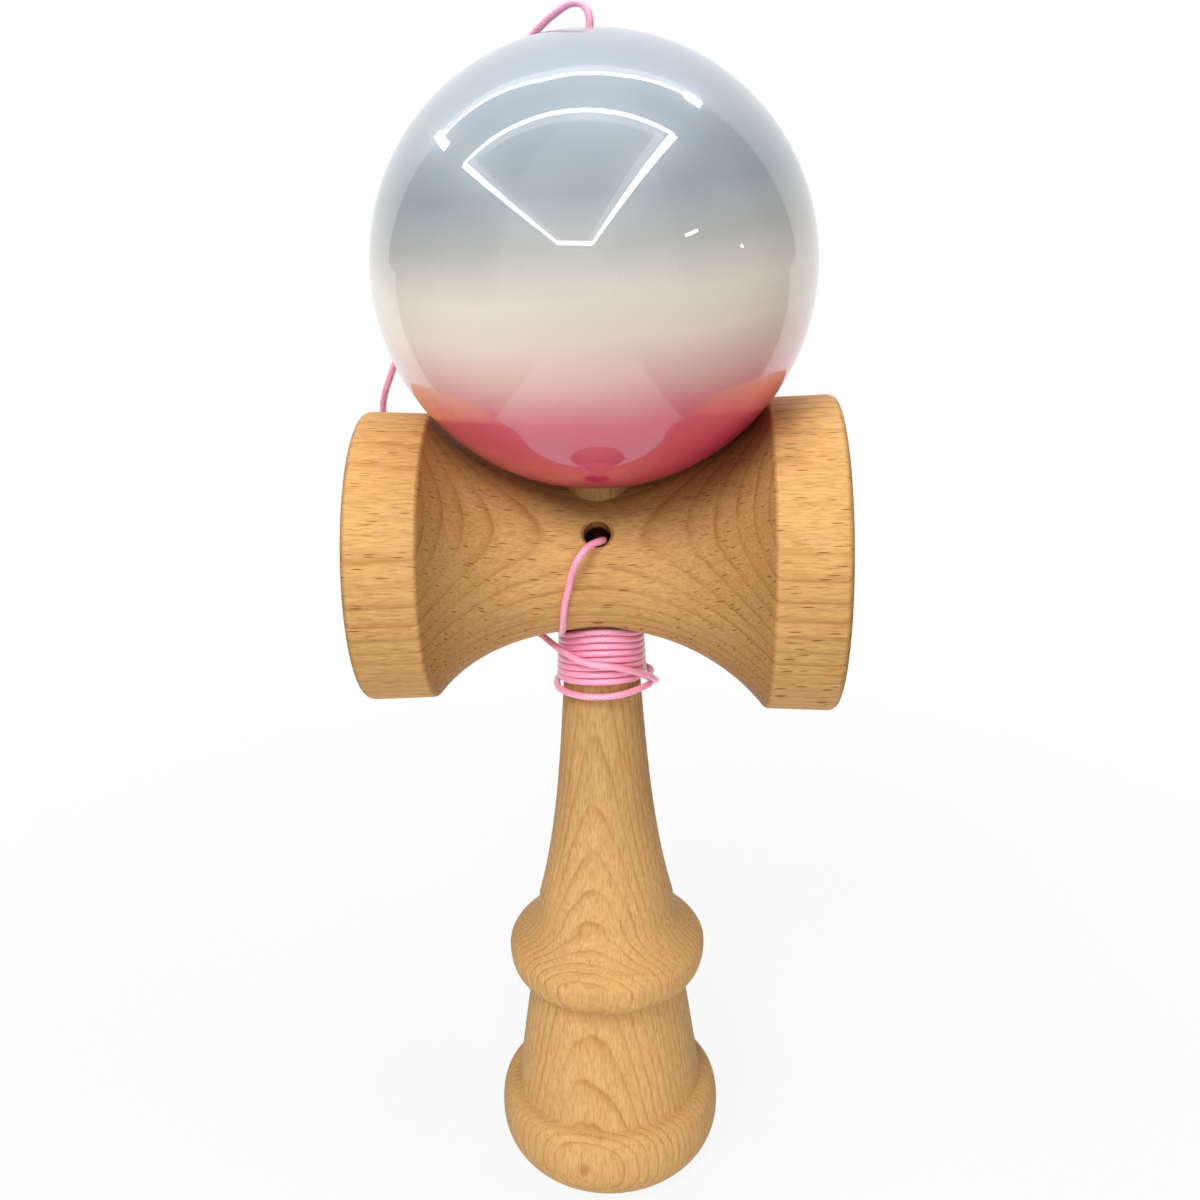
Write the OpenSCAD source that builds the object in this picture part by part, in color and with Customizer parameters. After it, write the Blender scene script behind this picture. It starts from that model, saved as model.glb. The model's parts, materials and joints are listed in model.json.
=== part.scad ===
// Kendama: a turned wooden ken with a spike, a cup cross-piece wedged on its taper,
// a lacquered ball resting over the spike, and the string wound round the neck.
// Millimetres. The rim of the base cup stands on z = 0 and the ken runs up +Z.
// The big cup faces +X, the small cup -X, and the string hole faces -Y.

/* [Ball] */
// Diameter of the ball
ball_d = 60; // [58:0.5:62]
// Diameter of the spike hole
spike_hole_d = 19; // [17:0.5:20]
// Width of the bevel round the mouth of the spike hole
hole_bevel = 1.2; // [0.5:0.1:1.4]
// Height of the tapered end of the spike hole
hole_end_h = 6; // [3:0.5:8]
// Diameter of the string hole through the top of the ball
top_hole_d = 3; // [2:0.1:3.6]
// Width of the bevel round the string hole at the top
top_bevel = 0.7; // [0.3:0.1:1.2]

/* [Cross-piece] */
// Height of the cross-piece's axis above the ground
cross_z = 105.2; // [100:0.5:112]
// Width over both cup rims
cross_w = 67.5; // [64:0.5:72]
// Diameter of the waist between the cups
cross_waist_d = 21.6; // [20:0.1:23]
// Outside diameter of the big cup
big_cup_d = 45.4; // [43.6:0.1:47]
// Diameter of the big cup's dish at the rim
big_dish_d = 42; // [38:0.1:42.6]
// Depth of the big cup's dish
big_dish_depth = 8.6; // [6:0.1:10]
// Outside diameter of the small cup
small_cup_d = 41.8; // [40:0.1:43]
// Diameter of the small cup's dish at the rim
small_dish_d = 38.4; // [34:0.1:39]
// Depth of the small cup's dish
small_dish_depth = 7.2; // [5:0.1:9]
// Width of the plain band behind each rim
band_w = 10; // [8:0.1:12]
// How much smaller the band's radius is at its shoulder than at its rim
band_taper = 0.3; // [0:0.05:0.6]
// Rounding of the rim's outer edge
rim_round = 1.3; // [0.6:0.1:1.6]
// Rounding of the shoulder between band and flare
shoulder_round = 0.9; // [0.4:0.1:1.5]
// Slope of the flare where it meets the shoulder, in degrees
flare_angle = 52; // [46:1:56]
// Reach of the flare's straight lead below the shoulder
flare_lead = 8; // [6:0.5:9]
// Reach of the flat stretch of the waist to each side
flare_flat = 9.8; // [8:0.2:12]
// Diameter of the string hole in the cross-piece
string_hole_d = 3.8; // [3:0.1:4.4]
// Upward slant of the string hole, in degrees
string_hole_slant = 35; // [30:1:38]
// Width of the bevel round the lower mouth of the bore
mouth_bevel = 1; // [0.4:0.1:1.6]

/* [Ken] */
// Widest diameter of the foot
foot_d = 36.1; // [34:0.1:39]
// Height of the foot's shoulder
foot_h = 13; // [10.5:0.1:14]
// Height of the foot's widest line
foot_wide_z = 7.6; // [5:0.1:8.4]
// Height where the foot's lower rounding turns upright
foot_turn_z = 2.6; // [1.5:0.1:4]
// Outside diameter of the rim that stands on the ground
rim_d = 29; // [28:0.1:31]
// Diameter of the base cup's dish at the ground
base_dish_d = 26.4; // [24:0.1:27.4]
// Depth of the base cup's dish
base_dish_depth = 6.2; // [5:0.1:8]
// Diameter of the waist where it meets the foot
waist_low_d = 30.3; // [29:0.1:32]
// Diameter of the waist where it meets the slip stop
waist_top_d = 24.4; // [22:0.1:26]
// Height of the slip stop's underside
stop_z = 33.8; // [30:0.1:36]
// Widest diameter of the slip stop
stop_d = 31.3; // [30:0.1:34]
// Height of the slip stop from its underside to the grip
stop_h = 14.2; // [13:0.1:16]
// Height of the slip stop's widest line above its underside
stop_wide_h = 5.4; // [4:0.1:6]
// Rounding of the slip stop's lower edge
stop_round = 1.8; // [1:0.1:2.6]
// Width of the slip stop's rounded shoulder
stop_shoulder = 2.7; // [1.8:0.1:3.2]
// Height of the slip stop's rounded shoulder
stop_shoulder_h = 3.5; // [3:0.1:5]
// Diameter of the grip where it leaves the slip stop
grip_d = 21.3; // [20:0.1:23]
// Slimming of the grip's radius over its lower handle
grip_slim = 3.2; // [2:0.1:4]
// Reach of the grip's lower curve
grip_low_reach = 12; // [9:0.5:14]
// Reach of the grip's upper curve
grip_top_reach = 18; // [14:0.5:20]
// Diameter of the neck below the cross-piece
neck_d = 10.8; // [10.2:0.1:11.4]
// How much wider the grip's upper curve aims than the neck, on the radius
neck_lean = 1.1; // [0.6:0.1:1.6]
// Half the height of the tapered seat of the cross-piece
seat_half = 13.5; // [12.8:0.1:15]
// Diameter of the taper above the cross-piece
seat_top_d = 9.7; // [9:0.1:10]
// Reach of the spike above the cross-piece's axis
spike_reach = 43.5; // [40:0.5:46]
// Diameter of the spike's rounded tip
tip_d = 5; // [4:0.1:6]

/* [String and bead] */
// Diameter of the string
string_d = 1; // [0.8:0.05:1]
// Turns of the string round the neck
wind_turns = 8.5; // [6.5:1:9.5]
// Clear gap between neighbouring turns
wind_gap = 0.48; // [0.45:0.01:0.6]
// Rise of each turn at its front and back
wind_saddle = 1; // [0.4:0.1:1.1]
// Growth of the winding's radius with each turn, as the neck widens
wind_grow = 0.1; // [0.1:0.01:0.14]
// Drop of the winding's top below the cross-piece's axis
wind_drop = 10.3; // [10.3:0.05:11.5]
// Diameter of the bead that holds the string in the ball
bead_d = 6.4; // [5:0.1:7]
// Diameter of the hole in the bead
bead_hole_d = 1.6; // [1.4:0.1:2]
// Diameter of each end knot
knot_d = 2.8; // [2.4:0.1:3]
// Diameter of the string hole across the ken
ken_hole_d = 2.4; // [1.8:0.1:2.6]
// Depth of the pocket that holds the knot in the ken
knot_pocket = 4.4; // [4.2:0.1:5]

/* [Clearances] */
// Clearance on the radius between the taper and the bore
seat_clear = 0.03; // [0.02:0.01:0.08]
// Gap between the resting ball and the big cup's shoulder
rest_gap = 0.3; // [0.25:0.05:0.6]
// Gap between the string and the wood that it lies on
string_clear = 0.15; // [0.12:0.01:0.3]
// Gap between the string's end and what it meets
end_gap = 0.3; // [0.2:0.05:0.5]
// Gap between the spike's tip and the knot in the ball
tip_gap = 1; // [0.6:0.1:2]
// Gap between the bead and its seats
bead_gap = 0.1; // [0.05:0.05:0.3]

/* [Hidden] */
$fn = 96;
wood = [0.84, 0.64, 0.40];
lacquer = [0.66, 0.70, 0.76];
pink = [0.96, 0.52, 0.70];
past = 1;

// Heights that follow from the sizes above
neck_z = cross_z - seat_half;
seat_top_z = cross_z + seat_half;
tip_z = cross_z + spike_reach;
stop_top_z = stop_z + stop_h;

// Curves for the turned outlines: a quadratic, a cubic and a dish that starts on the axis
function bend(a, b, c, n = 8) =
    [for (i = [1:n]) let (t = i / n) (1 - t) * (1 - t) * a + 2 * t * (1 - t) * b + t * t * c];
function flow(a, b, c, d, n = 16) =
    [for (i = [1:n]) let (t = i / n, s = 1 - t)
        s * s * s * a + 3 * s * s * t * b + 3 * s * t * t * c + t * t * t * d];
function dish(r, depth, n = 14) =
    let (rho = (r * r + depth * depth) / (2 * depth), end = asin(r / rho))
    [for (i = [0:n]) let (a = end * i / n) [rho * sin(a), depth - rho + rho * cos(a)]];
function backwards(p) = [for (i = [len(p) - 1:-1:0]) p[i]];

// Outline of the ken from the base cup's middle, round the outside, to the spike's tip
foot_r = foot_d / 2;
stop_r = stop_d / 2;
stop_wide_z = stop_z + stop_wide_h;
stop_edge = [stop_r - stop_shoulder, stop_wide_z + stop_shoulder_h];
grip_low = [grip_d / 2, stop_top_z];
neck = [neck_d / 2, neck_z];
ken_outline = concat(
    dish(base_dish_d / 2, base_dish_depth),
    [[rim_d / 2, 0]],
    bend([rim_d / 2, 0], [foot_r, foot_turn_z], [foot_r, foot_wide_z]),
    bend([foot_r, foot_wide_z], [foot_r, foot_h], [waist_low_d / 2, foot_h]),
    [[waist_top_d / 2, stop_z], [stop_r - stop_round, stop_z + stop_round / 2]],
    bend([stop_r - stop_round, stop_z + stop_round / 2], [stop_r, stop_z + stop_round],
        [stop_r, stop_wide_z]),
    bend([stop_r, stop_wide_z], [stop_r, stop_wide_z + stop_shoulder_h / 2], stop_edge),
    bend(stop_edge, [grip_d / 2, stop_top_z - stop_shoulder], grip_low),
    flow(grip_low, [grip_d / 2 - grip_slim, stop_top_z + grip_low_reach],
        [neck_d / 2 + neck_lean, neck_z - grip_top_reach], neck, 20),
    [[seat_top_d / 2, seat_top_z]],
    bend([tip_d / 2, tip_z - tip_d / 2], [tip_d / 2, tip_z], [0, tip_z])
);

// Outline of one cup, from the middle of its dish out to the waist of the cross-piece
function cup_outline(cup_d, dish_d, depth) =
    let (half = cross_w / 2, r = cup_d / 2, lower = r - band_taper,
        slope = [sin(flare_angle), cos(flare_angle)],
        corner = [lower, half - band_w],
        above = corner + [0, shoulder_round],
        below = corner - shoulder_round * slope)
    concat(
        [for (p = dish(dish_d / 2, depth)) [p.x, half - p.y]],
        [[r - rim_round, half]],
        bend([r - rim_round, half], [r, half], [r, half - rim_round]),
        [above],
        bend(above, corner, below),
        flow(below, below - flare_lead * slope, [cross_waist_d / 2, flare_flat], [cross_waist_d / 2, 0])
    );
small_side = cup_outline(small_cup_d, small_dish_d, small_dish_depth);
big_side = backwards(cup_outline(big_cup_d, big_dish_d, big_dish_depth));
cross_outline = concat(
    [for (p = small_side) [p.x, -p.y]],
    [for (i = [1:len(big_side) - 1]) big_side[i]]
);

// The ball comes to rest where it first meets the outline of either cup
reach = ball_d / 2 + rest_gap;
ball_z = cross_z + max([for (p = concat(small_side, big_side))
    if (p.y < reach) p.x + sqrt(reach * reach - p.y * p.y)]);
ball_top = ball_z + ball_d / 2;
knot_z = tip_z + tip_gap + knot_d / 2;
bead_z = knot_z + knot_d / 2 + bead_gap + bead_d / 2;
hole_roof_z = bead_z + bead_d / 2 + bead_gap;

// The slanted line that the string follows through the cross-piece and the ken
module along_string_hole() {
    translate([0, 0, cross_z]) rotate([90 - string_hole_slant, 0, 0]) children();
}

// Ken: base cup, foot, waist, slip stop, grip, tapered seat and spike turned in one piece
module ken() {
    color(wood) difference() {
        rotate_extrude() polygon(ken_outline);
        along_string_hole() cylinder(d = ken_hole_d, h = 2 * neck_d, center = true);
        along_string_hole() translate([0, 0, -neck_d]) cylinder(d = knot_d + 2 * end_gap,
            h = neck_d - neck_d / 2 / cos(string_hole_slant) + knot_pocket);
    }
}

// Cross-piece: big and small cup on one waist, with the tapered bore and the string hole
module cross_piece() {
    mouth_r = neck_d / 2 + mouth_bevel;
    mouth_z = -sqrt(pow(cross_waist_d / 2, 2) - mouth_r * mouth_r);
    color(wood) translate([0, 0, cross_z]) difference() {
        rotate([0, 90, 0]) rotate_extrude() polygon(cross_outline);
        translate([0, 0, -seat_half]) cylinder(r1 = neck_d / 2 + seat_clear,
            r2 = seat_top_d / 2 + seat_clear, h = 2 * seat_half);
        translate([0, 0, mouth_z - 2 * mouth_r]) cylinder(r1 = 2 * mouth_r, r2 = 0, h = 4 * mouth_r);
        rotate([90 - string_hole_slant, 0, 0]) cylinder(d = string_hole_d, h = cross_waist_d);
    }
}

// Ball: bevelled spike hole below, string hole above
module ball() {
    hole_r = spike_hole_d / 2;
    mouth_r = hole_r + hole_bevel;
    mouth_h = sqrt(pow(ball_d / 2, 2) - mouth_r * mouth_r);
    top_r = top_hole_d / 2 + top_bevel;
    color(lacquer) difference() {
        translate([0, 0, ball_z]) sphere(d = ball_d);
        translate([0, 0, ball_z - ball_d]) cylinder(r = hole_r, h = hole_roof_z - hole_end_h - ball_z + ball_d);
        translate([0, 0, hole_roof_z - hole_end_h]) cylinder(r1 = hole_r, r2 = bead_d / 2, h = hole_end_h);
        translate([0, 0, ball_z - mouth_h - hole_bevel]) cylinder(r1 = mouth_r + hole_bevel,
            r2 = hole_r, h = 2 * hole_bevel);
        translate([0, 0, hole_roof_z - past]) cylinder(d = top_hole_d, h = ball_d);
        translate([0, 0, ball_top - top_r]) cylinder(r1 = 0, r2 = 2 * top_r, h = 2 * top_r);
    }
}

// Bead that keeps the string in the ball
module bead() {
    color(wood) translate([0, 0, bead_z]) difference() {
        sphere(d = bead_d);
        cylinder(d = bead_hole_d, h = bead_d + past, center = true);
    }
}

// End knot: a short barrel of string
module knot() {
    r = knot_d / 2;
    rotate_extrude() polygon(concat(
        [[0, -r]], bend([0, -r], [r, -r], [r, 0]), bend([r, 0], [r, r], [0, r])));
}

module bead_knot() {
    color(pink) translate([0, 0, knot_z]) knot();
}

// The knot sits in its pocket at the back of the ken
anchor_s = -(neck_d / 2 / cos(string_hole_slant) - knot_pocket + knot_d / 2 + bead_gap);
module anchor_knot() {
    color(pink) along_string_hole() translate([0, 0, anchor_s]) knot();
}

// Round tube along a list of points, with its section carried along without twist
function unit(v) = v / norm(v);
function heading(p, i) = unit(p[min(i + 1, len(p) - 1)] - p[max(i - 1, 0)]);
function square_to(v, t) = unit(v - (v * t) * t);
function carried(p, first) =
    [for (i = 0, n = square_to(first, heading(p, 0)); i < len(p);
        i = i + 1, n = i < len(p) ? square_to(n, heading(p, i)) : n) n];
module tube(p, d, sides, first) {
    n = carried(p, first);
    rings = len(p);
    points = [for (i = [0:rings - 1]) let (t = heading(p, i), b = cross(t, n[i]))
        for (k = [0:sides - 1]) p[i] + d / 2 * (cos(360 * k / sides) * n[i] + sin(360 * k / sides) * b)];
    last = (rings - 1) * sides;
    walls = [for (i = [0:rings - 2], k = [0:sides - 1])
        let (a = i * sides + k, b = i * sides + (k + 1) % sides)
        each [[a, a + sides, b], [b, a + sides, b + sides]]];
    caps = [for (k = [1:sides - 2]) each [[0, k, k + 1], [last, last + k + 1, last + k]]];
    polyhedron(points, concat(walls, caps));
}
// Points between hand-set points, on one smooth curve
function smooth_at(p, i, t) =
    let (a = p[max(i - 1, 0)], b = p[i], c = p[i + 1], d = p[min(i + 2, len(p) - 1)])
    0.5 * (2 * b + (c - a) * t + (2 * a - 5 * b + 4 * c - d) * t * t + (3 * b - a - 3 * c + d) * t * t * t);
function smooth(p, steps) =
    concat([for (i = [0:len(p) - 2], k = [0:steps - 1]) smooth_at(p, i, k / steps)], [p[len(p) - 1]]);

// Winding: one helix that runs down clockwise, each turn lifted at front and back
rings_per_turn = 24;
wind_r = neck_d / 2 + string_d / 2 + string_clear;
wind_pitch = string_d + wind_gap;
wind_start = -160;
function wind_at(t) =
    let (a = wind_start - 360 * t, r = wind_r + wind_grow * t)
    [r * cos(a), r * sin(a), cross_z - wind_drop - wind_pitch * t - wind_saddle * cos(2 * a)];
function clockwise(t) = let (a = wind_start - 360 * t) [sin(a), -cos(a), 0];
wind_steps = round(wind_turns * rings_per_turn);
wind_line = [for (i = [0:wind_steps]) wind_at(wind_turns * i / wind_steps)];
wind_entry = unit(wind_line[1] - wind_at(-1 / rings_per_turn));
wind_first = wind_line[0] - string_d * wind_entry;
wind_last = wind_line[wind_steps] + string_d * clockwise(wind_turns);
wind_path = concat([wind_first], wind_line, [wind_last]);
wind_near = min([for (i = [0:wind_steps - 1], j = [i + rings_per_turn / 2:wind_steps])
    if (j > i) norm(wind_line[i] - wind_line[j])]);
echo(least_gap_in_winding = wind_near - string_d);
module string_winding() {
    color(pink) tube(wind_path, string_d, 6, [0, 0, 1]);
}

// Lead: out of the ken through the string hole, down the waist to the winding
function on_string_hole(s) =
    [0, -s * cos(string_hole_slant), cross_z + s * sin(string_hole_slant)];
lead_points = [
    [0, -7.9, 109.3], [0.1, -9.1, 110.15], [-0.1, -10.1, 110.55], [-0.7, -10.6, 110.15],
    [-1.8, -11, 109.3], [-2.8, -11.35, 107.9], [-3.6, -11.6, 106.15], [-4.2, -11.65, 104.1],
    [-4.6, -11.2, 101.8], [-4.75, -10.75, 100.4], [-4.9, -9.95, 98.95], [-5.1, -8.6, 97],
    [-5.25, -6.9, 95.4], [-5.25, -5.5, 94.7]
];
module string_lead() {
    inner = [for (s = [anchor_s + knot_d / 2, 0, neck_d / 2]) on_string_hole(s)];
    before = wind_first - string_d * wind_entry;
    color(pink) tube(concat(inner, lead_points, [before, wind_first]), string_d, 8, [1, 0, 0]);
}

// Tail: over the winding, under the small cup, up behind the ball and into its top
tail_points = [
    [8.2, -1.4, 83.3], [8.2, -3.2, 85.5], [7.1, -5, 87.7], [5.2, -6.6, 89.3], [2.7, -7.8, 90.2],
    [0, -8.2, 90.8], [-2.7, -7.8, 91.4], [-5.2, -6.6, 92], [-7.2, -4.2, 92.4], [-8.7, -0.4, 92.4],
    [-10.6, 4, 92.2], [-13.2, 8.6, 92.4], [-16.4, 12.8, 93], [-20, 16.8, 94.4], [-24, 20.4, 97],
    [-27.6, 22, 101.4], [-30.4, 22.4, 107], [-32.4, 21.4, 113], [-33.5, 19.2, 118.6],
    [-33.2, 16.6, 124], [-31, 14.6, 129.6], [-28.4, 14.8, 135.6], [-26.2, 17, 142], [-23.8, 19.8, 149],
    [-20.8, 21.8, 156], [-17.4, 21.6, 162.6], [-13.8, 19.2, 168.4], [-10.8, 14.6, 173],
    [-8.8, 9.6, 175.2], [-7, 5.6, 176.4], [-5.2, 3.2, 177.7], [-3.4, 1.8, 178.7], [-1.8, 0.9, 179],
    [-0.5, 0.2, 178.5]
];
module string_tail() {
    after = wind_last + string_d * clockwise(wind_turns);
    top = [0, 0, ball_top + 2 * end_gap];
    above = top + [0, 0, string_d];
    color(pink) tube(concat([wind_last, after], smooth(tail_points, 2), [above, top]), string_d, 8, [0, 0, 1]);
}

// String inside the ball, from the knot through the bead to the ball's top
module string_in_ball() {
    foot = knot_z + knot_d / 2;
    color(pink) translate([0, 0, foot]) cylinder(d = string_d, h = ball_top + end_gap - foot);
}

ken();
cross_piece();
ball();
bead();
bead_knot();
anchor_knot();
string_lead();
string_winding();
string_tail();
string_in_ball();
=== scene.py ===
# %% [markdown]
# A kendama is a turned wooden toy: a handle with a spike, a cross-piece with two cups, a lacquered
# ball and a string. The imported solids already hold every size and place, so this lesson loads
# them as a fixed frame and gives each piece the surface that a hand would feel.

# %% Frame
import json
import math

import bmesh
import bpy
from mathutils import Euler, Matrix, Vector


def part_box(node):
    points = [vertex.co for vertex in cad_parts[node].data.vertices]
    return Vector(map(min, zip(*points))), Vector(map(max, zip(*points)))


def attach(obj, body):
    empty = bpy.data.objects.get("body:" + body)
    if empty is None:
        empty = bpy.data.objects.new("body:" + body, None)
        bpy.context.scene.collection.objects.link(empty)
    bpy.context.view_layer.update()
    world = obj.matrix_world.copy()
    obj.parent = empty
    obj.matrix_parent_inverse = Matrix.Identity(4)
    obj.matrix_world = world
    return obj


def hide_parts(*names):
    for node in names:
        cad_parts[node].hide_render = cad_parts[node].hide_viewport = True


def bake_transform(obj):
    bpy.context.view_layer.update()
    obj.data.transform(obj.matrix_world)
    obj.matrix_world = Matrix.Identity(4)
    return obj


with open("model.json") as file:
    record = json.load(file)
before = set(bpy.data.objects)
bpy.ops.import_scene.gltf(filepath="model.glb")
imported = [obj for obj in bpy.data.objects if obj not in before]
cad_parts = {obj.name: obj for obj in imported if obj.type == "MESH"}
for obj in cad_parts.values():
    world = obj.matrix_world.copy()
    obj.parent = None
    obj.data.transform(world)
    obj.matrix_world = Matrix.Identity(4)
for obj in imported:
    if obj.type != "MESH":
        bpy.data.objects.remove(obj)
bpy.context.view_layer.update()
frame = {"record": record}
scene = bpy.context.scene
scene.view_settings.view_transform = "Standard"
MM = 0.001

# %% [markdown]
# The photograph looks down on the toy from close by, so its perspective is strong: the foot is seen
# from well above and the ball almost level. A camera made from a place, three angles and a lens
# repeats that. The angles are turned one after the other, the roll last, about the line of sight.

# %% Camera
camera_place = Vector((6.92, -192.34, 172.86)) * MM
camera_pitch = math.radians(21.23)
camera_yaw = math.radians(-2.09)
camera_roll = math.radians(-1.10)
focal_pixels = 1401.4
photo_pixels = 1200
sensor = 36.0

camera = bpy.data.cameras.new("camera")
camera.sensor_width = sensor
camera.lens = focal_pixels / photo_pixels * sensor
camera.clip_start = 10 * MM
camera_object = bpy.data.objects.new("camera", camera)
scene.collection.objects.link(camera_object)
camera_turn = (
    Matrix.Rotation(-camera_yaw, 4, "Z")
    @ Matrix.Rotation(math.pi / 2 - camera_pitch, 4, "X")
    @ Matrix.Rotation(camera_roll, 4, "Z")
)
camera_object.matrix_world = Matrix.Translation(camera_place) @ camera_turn
scene.camera = camera_object
print("camera: lens %.1f mm" % camera.lens)

# %% [markdown]
# Most sizes below come from the frame's own boxes. The rest repeat the driving dimensions of the
# turned outlines, in millimetres, so that a finer spin of the same curve lies on its solid.


# %% Sizes read from the frame
def box_mm(node):
    """A node's lowest and highest corner, in millimetres."""
    return [Vector(corner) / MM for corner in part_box(node)]


ken_high = box_mm("ken")[1]
cross_low, cross_high = box_mm("cross_piece")
bead_low, bead_high = box_mm("bead")
joints = {joint["name"]: joint for joint in frame["record"]["behaviour"]["joints"]}
ball_z = joints["ball_spin"]["pos_m"][2] / MM
ball_r = 30.0
ball_top = ball_z + ball_r
cross_z = (cross_low.z + cross_high.z) / 2
cross_half = cross_high.x
tip_z = ken_high.z
print("ball centre %.2f, cross-piece axis %.2f, spike tip %.2f" % (ball_z, cross_z, tip_z))

# %% [markdown]
# Turned work is an outline spun about an axis. An outline is a handful of straight and curved
# stretches, so three small curve helpers are enough: a quadratic bend, a cubic flow and the hollow
# of a cup. Each gives points of radius and height.


# %% Outline helpers
def bend(a, b, c, steps=12):
    """A curve from a to c that leans towards b, without a itself."""
    a, b, c = Vector(a), Vector(b), Vector(c)
    ts = [i / steps for i in range(1, steps + 1)]
    return [(1 - t) ** 2 * a + 2 * t * (1 - t) * b + t * t * c for t in ts]


def flow(a, b, c, d, steps=32):
    """A curve from a to d that b and c lead, without a itself."""
    a, b, c, d = Vector(a), Vector(b), Vector(c), Vector(d)
    ts = [i / steps for i in range(1, steps + 1)]
    return [
        (1 - t) ** 3 * a + 3 * (1 - t) ** 2 * t * b + 3 * (1 - t) * t * t * c + t**3 * d for t in ts
    ]


def dish(radius, depth, steps=24):
    """The arc of a hollow, from its deepest point on the axis to its rim at height zero."""
    curve = (radius**2 + depth**2) / (2 * depth)
    end = math.asin(radius / curve)
    angles = [end * i / steps for i in range(steps + 1)]
    return [Vector((curve * math.sin(a), depth - curve + curve * math.cos(a))) for a in angles]


print("outline helpers: bend, flow and dish")

# %% [markdown]
# bmesh's spin carries the outline round its axis like a lathe. A full turn is merged at the seam and
# points on the axis are merged to one pole. Normals are then recalculated to face outwards, and
# edges sharper than the crease angle stay crisp while the rest shade smoothly.

# %% Lathe
SPIN_STEPS = 192
CREASE = math.radians(40)
MERGE_GAP = 0.0005 * MM


def new_object(name, data):
    piece = bpy.data.objects.new(name, data)
    scene.collection.objects.link(piece)
    return piece


def finish_mesh(name, bm):
    bmesh.ops.remove_doubles(bm, verts=bm.verts, dist=MERGE_GAP)
    bmesh.ops.recalc_face_normals(bm, faces=bm.faces)
    mesh = bpy.data.meshes.new(name)
    bm.to_mesh(mesh)
    bm.free()
    mesh.shade_smooth()
    mesh.set_sharp_from_angle(angle=CREASE)
    return new_object(name, mesh)


def turned(name, outline, closed=False, steps=SPIN_STEPS, centre=(0, 0, 0), lying=False):
    """Spins points of radius and height, in millimetres, about Z, or about X if it is lying."""
    bm = bmesh.new()
    points = [bm.verts.new((p[0] * MM, 0, p[1] * MM)) for p in outline]
    pairs = list(zip(points, points[1:]))
    if closed:
        pairs.append((points[-1], points[0]))
    edges = [bm.edges.new(pair) for pair in pairs]
    bmesh.ops.spin(
        bm,
        geom=points + edges,
        cent=(0, 0, 0),
        axis=(0, 0, 1),
        angle=2 * math.pi,
        steps=steps,
        use_merge=True,
    )
    if lying:
        bmesh.ops.rotate(bm, verts=bm.verts, matrix=Matrix.Rotation(math.pi / 2, 3, "Y"))
    bmesh.ops.translate(bm, verts=bm.verts, vec=Vector(centre) * MM)
    return finish_mesh(name, bm)


print("lathe: %d steps a turn" % SPIN_STEPS)

# %% [markdown]
# Holes that cross a turned form can't be spun, so they are drilled: a cone or cylinder is placed as
# a cutter, a Boolean takes it away, and the result is kept as plain mesh.

# %% Drill
DRILL_SIDES = 96


def cutter(radius_low, radius_high, start, end):
    """A closed cone from start to end, in millimetres."""
    start, end = Vector(start) * MM, Vector(end) * MM
    run = end - start
    bm = bmesh.new()
    bmesh.ops.create_cone(
        bm,
        cap_ends=True,
        segments=DRILL_SIDES,
        radius1=radius_low * MM,
        radius2=radius_high * MM,
        depth=run.length,
    )
    aim = run.to_track_quat("Z", "Y").to_matrix()
    bmesh.ops.rotate(bm, verts=bm.verts, matrix=aim)
    bmesh.ops.translate(bm, verts=bm.verts, vec=(start + end) / 2)
    return finish_mesh("cutter", bm)


def drill(piece, cutters):
    for tool in cutters:
        cut = piece.modifiers.new("drill", "BOOLEAN")
        cut.operation = "DIFFERENCE"
        cut.solver = "EXACT"
        cut.object = tool
    graph = bpy.context.evaluated_depsgraph_get()
    mesh = bpy.data.meshes.new_from_object(piece.evaluated_get(graph))
    piece.modifiers.clear()
    piece.data = mesh
    mesh.name = piece.name
    mesh.set_sharp_from_angle(angle=CREASE)
    for tool in cutters:
        bpy.data.objects.remove(tool)


print("drill: %d sides" % DRILL_SIDES)

# %% [markdown]
# The ken, the handle, is one piece of beech: base cup, foot, waist, slip stop, grip, tapered seat and
# spike. A long list of points could trace it, but a few sizes and bends say the same and are easy to
# change. The outline runs from the middle of the base cup round the outside to the tip.

# %% Ken sizes
foot_r = ken_high.x
foot_h, foot_wide_z, foot_turn_z = 13.0, 7.6, 2.6
rim_r, rim_soft = 14.5, 0.4
base_dish_r, base_dish_depth = 13.2, 6.2
waist_low_r, waist_top_r = 15.15, 12.2
stop_z, stop_r, stop_h, stop_wide_h = 33.8, 15.65, 14.2, 5.4
stop_round, stop_shoulder, stop_shoulder_h = 1.8, 2.7, 3.5
grip_r, grip_slim, grip_low_reach, grip_top_reach = 10.65, 3.2, 12.0, 18.0
neck_r, neck_lean, seat_top_r, seat_half = 5.4, 1.1, 4.85, 13.5
tip_r = 2.5
print("ken: foot %.1f mm wide, slip stop %.1f mm" % (2 * foot_r, 2 * stop_r))

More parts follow.
